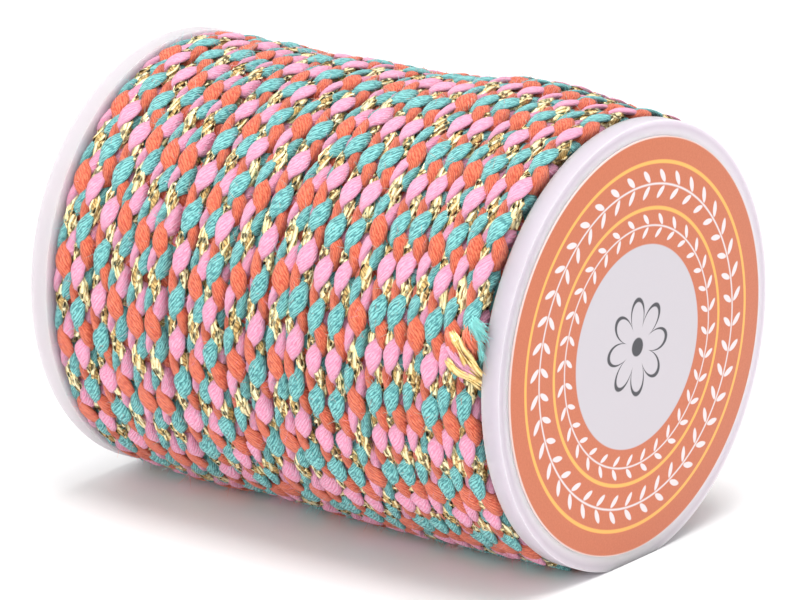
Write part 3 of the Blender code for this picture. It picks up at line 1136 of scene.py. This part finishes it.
def make_ring_group():
    """A mask that is 1 on a printed ring of this radius and half width."""
    inputs = (("Radius", 0.0), ("Ring", 0.5), ("Half Width", 0.01))
    group, source, result = new_group("printed_ring", inputs, (("Mask", "NodeSocketFloat"),))
    away = gap_between(group, source.outputs["Radius"], source.outputs["Ring"])
    mask = clamped(group, printed(group, source.outputs["Half Width"], away))
    group.links.new(mask, result.inputs["Mask"])
    return group


# %% Leaves round a band
def make_garland_group():
    """A mask of a stem round a band, with pairs of leaves that lean along it."""
    inputs = (("Radius", 0.0), ("Angle", 0.0), ("Band", 0.7), ("Number", 30.0), ("Leaf Length", 0.05))
    group, source, result = new_group("leaf_garland", inputs, (("Mask", "NodeSocketFloat"),))
    band, number, size = (source.outputs[name] for name in ("Band", "Number", "Leaf Length"))

    def power_of_share(way, half_size, power):
        share = math_node(group, "DIVIDE", way, times(group, size, half_size))
        return math_node(group, "POWER", math_node(group, "ABSOLUTE", share), power)

    turns = times(group, source.outputs["Angle"], math_node(group, "DIVIDE", number, math.tau))
    # The hundred whole turns keep the share above zero for negative angles.
    share = math_node(group, "FRACT", math_node(group, "ADD", turns, 100.0))
    cell = math_node(group, "SUBTRACT", share, 0.5)
    along = times(group, cell, math_node(group, "DIVIDE", times(group, band, math.tau), number))
    off = gap_between(group, source.outputs["Radius"], band)
    off_leaf = math_node(group, "SUBTRACT", off, times(group, size, LEAF_HALF_LENGTH))
    cosine, sine = math.cos(LEAF_LEAN), math.sin(LEAF_LEAN)
    long_way = math_node(group, "ADD", times(group, along, cosine), times(group, off_leaf, sine))
    short_way = math_node(group, "SUBTRACT", times(group, off_leaf, cosine), times(group, along, sine))
    reach = math_node(group, "ADD", power_of_share(long_way, LEAF_HALF_LENGTH, 1.6),
                      power_of_share(short_way, LEAF_HALF_WIDTH, 2.0))
    leaf = printed(group, 1.0, reach, LEAF_SHARPNESS)
    stem = printed(group, times(group, size, STEM_HALF_WIDTH), off)
    mask = clamped(group, math_node(group, "MAXIMUM", leaf, stem))
    group.links.new(mask, result.inputs["Mask"])
    return group


# %% Inks and layout of the label
RED_INK = ((0.520, 0.138, 0.062), (0.640, 0.190, 0.094))
YELLOW_INK = (0.96, 0.48, 0.11)
PALE_INK = (0.80, 0.73, 0.74)
PALE_GROUND = (0.59, 0.555, 0.597)
DARK_INK = (0.055, 0.055, 0.065)
BARE_PAPER = (0.80, 0.62, 0.58)
PETALS = 8


def label_material():
    """The print in layers, each laid over the one before; sizes are shares of the label's radius."""
    material, tree, shader = new_material("printed_paper_label", Roughness=0.55)
    parts, height, distance = about_axis(tree)
    radius = math_node(tree, "DIVIDE", distance, LABEL_RADIUS)
    angle = math_node(tree, "ARCTAN2", height, parts["Y"])
    ring_group, garland_group = {"node_tree": make_ring_group()}, {"node_tree": make_garland_group()}

    def ring(at, half_width):
        made = node(tree, "ShaderNodeGroup", ring_group, Radius=radius, Ring=at, Half_Width=half_width)
        return made.outputs["Mask"]

    def garland(band, number, size):
        made = node(tree, "ShaderNodeGroup", garland_group, Radius=radius, Angle=angle,
                    Band=band, Number=number, Leaf_Length=size)
        return made.outputs["Mask"]

    wave = math_node(tree, "COSINE", times(tree, angle, PETALS / 2))
    petal = math_node(tree, "POWER", math_node(tree, "ABSOLUTE", wave), 0.6)
    petal_edge = math_node(tree, "MULTIPLY_ADD", petal, 0.13, 0.10)
    rosette = clamped(tree, printed(tree, 0.011, gap_between(tree, radius, petal_edge)))
    colour = mixed(tree, solid_noise(tree, 9000.0, 2.0), *RED_INK)
    for mask, ink in (
        (ring(0.880, 0.0085), YELLOW_INK),
        (ring(0.661, 0.0085), YELLOW_INK),
        (garland(0.775, 40.0, 0.062), PALE_INK),
        (garland(0.578, 32.0, 0.052), PALE_INK),
        (ring(0.0, 0.489), PALE_GROUND),
        (rosette, DARK_INK),
        (ring(0.0, 0.045), DARK_INK),
        (ring(1.0, 0.005), BARE_PAPER),
    ):
        colour = mixed(tree, mask, colour, ink)
    tree.links.new(colour, shader.inputs["Base Color"])
    add_bump(tree, shader, solid_noise(tree, 2500.0, 3.0), 0.15, 0.02 * MM)
    return material


label_disc.data.materials.append(label_material())
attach(label_disc, "root")
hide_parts("label")
